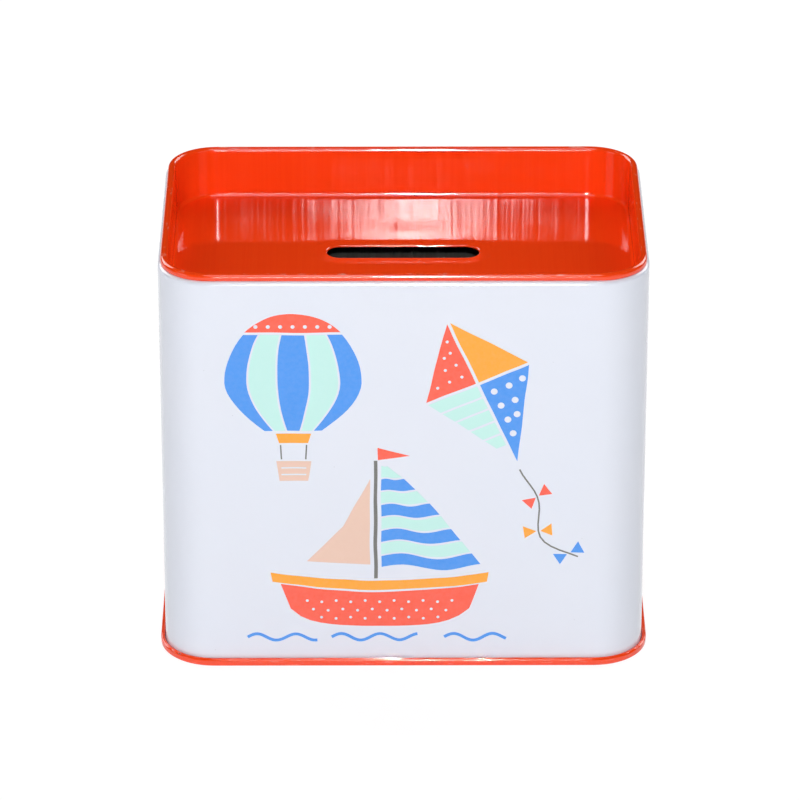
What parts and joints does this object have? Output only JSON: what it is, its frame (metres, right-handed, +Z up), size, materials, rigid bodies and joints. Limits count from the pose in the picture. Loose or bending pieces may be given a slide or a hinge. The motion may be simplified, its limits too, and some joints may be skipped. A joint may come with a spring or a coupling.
{
  "type": "tin money box",
  "caption": "Tinplate money box: a rounded rectangular body on a seamed base, with a lift-off recessed lid that has a coin slot.",
  "frame": {"origin": "on the standing surface, under the middle of the box", "axes": "+Z up, +X to the right along the front's width, and the front face looks towards -Y"},
  "size_m": [0.1224, 0.0824, 0.107],
  "materials": {
    "white_lacquered_tinplate": "gloss lacquer",
    "orange_lacquered_tinplate": "gloss lacquer"
  },
  "bodies": {
    "box": {"printed_body": "white_lacquered_tinplate", "seamed_base": "orange_lacquered_tinplate"},
    "lid": {"slotted_lid": "orange_lacquered_tinplate"}
  },
  "joints": [
    {"name": "lid_lift", "type": "slide", "parent": "box", "child": "lid", "axis": [0, 0, 1], "range_m": [0, 0.04]}
  ]
}
